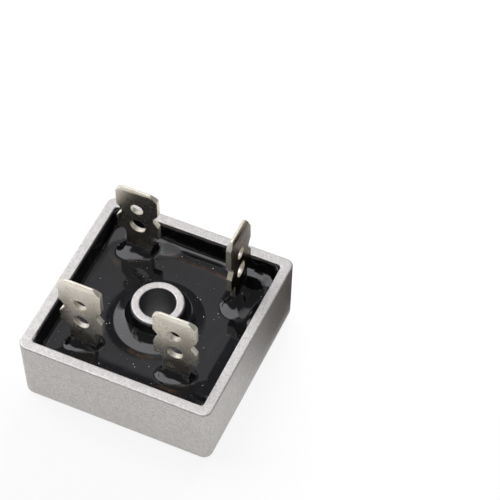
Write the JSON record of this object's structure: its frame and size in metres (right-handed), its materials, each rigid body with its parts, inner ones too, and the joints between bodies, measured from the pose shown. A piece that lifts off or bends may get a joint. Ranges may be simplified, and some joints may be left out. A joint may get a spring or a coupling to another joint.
{
  "type": "bridge rectifier",
  "caption": "Square bridge rectifier in a cast metal case with a centre screw hole, resin filled, with blade terminals, one of them turned.",
  "frame": {"origin": "centre of the screw hole on the flat mounting face", "axes": "+Z along the screw hole towards the terminals; X and Y along the sides of the case, with the positive terminal at the +X +Y corner"},
  "size_m": [0.0284, 0.0284, 0.0214],
  "materials": {
    "case_aluminium": "bead-blasted",
    "black_resin": "glossy",
    "plated_blade": "satin plating",
    "copper": "bare copper",
    "white_ceramic": "matt",
    "silicon": "polished",
    "solder": "satin"
  },
  "bodies": {
    "root": {"ac_front_terminal": "plated_blade", "ac_rear_terminal": "plated_blade", "ac_strap_front": "copper", "ac_strap_rear": "copper", "case": "case_aluminium", "chip_front": "silicon", "chip_left": "silicon", "chip_rear": "silicon", "chip_right": "silicon", "insulating_sheet": "white_ceramic", "negative_plate": "copper", "negative_terminal": "plated_blade", "positive_plate": "copper", "positive_terminal": "plated_blade", "potting": "black_resin", "solder_foot_ac_front": "solder", "solder_foot_ac_rear": "solder", "solder_foot_negative": "solder", "solder_foot_positive": "solder", "solder_over_front": "solder", "solder_over_left": "solder", "solder_over_rear": "solder", "solder_over_right": "solder", "solder_under_front": "solder", "solder_under_left": "solder", "solder_under_rear": "solder", "solder_under_right": "solder"}
  },
  "joints": []
}
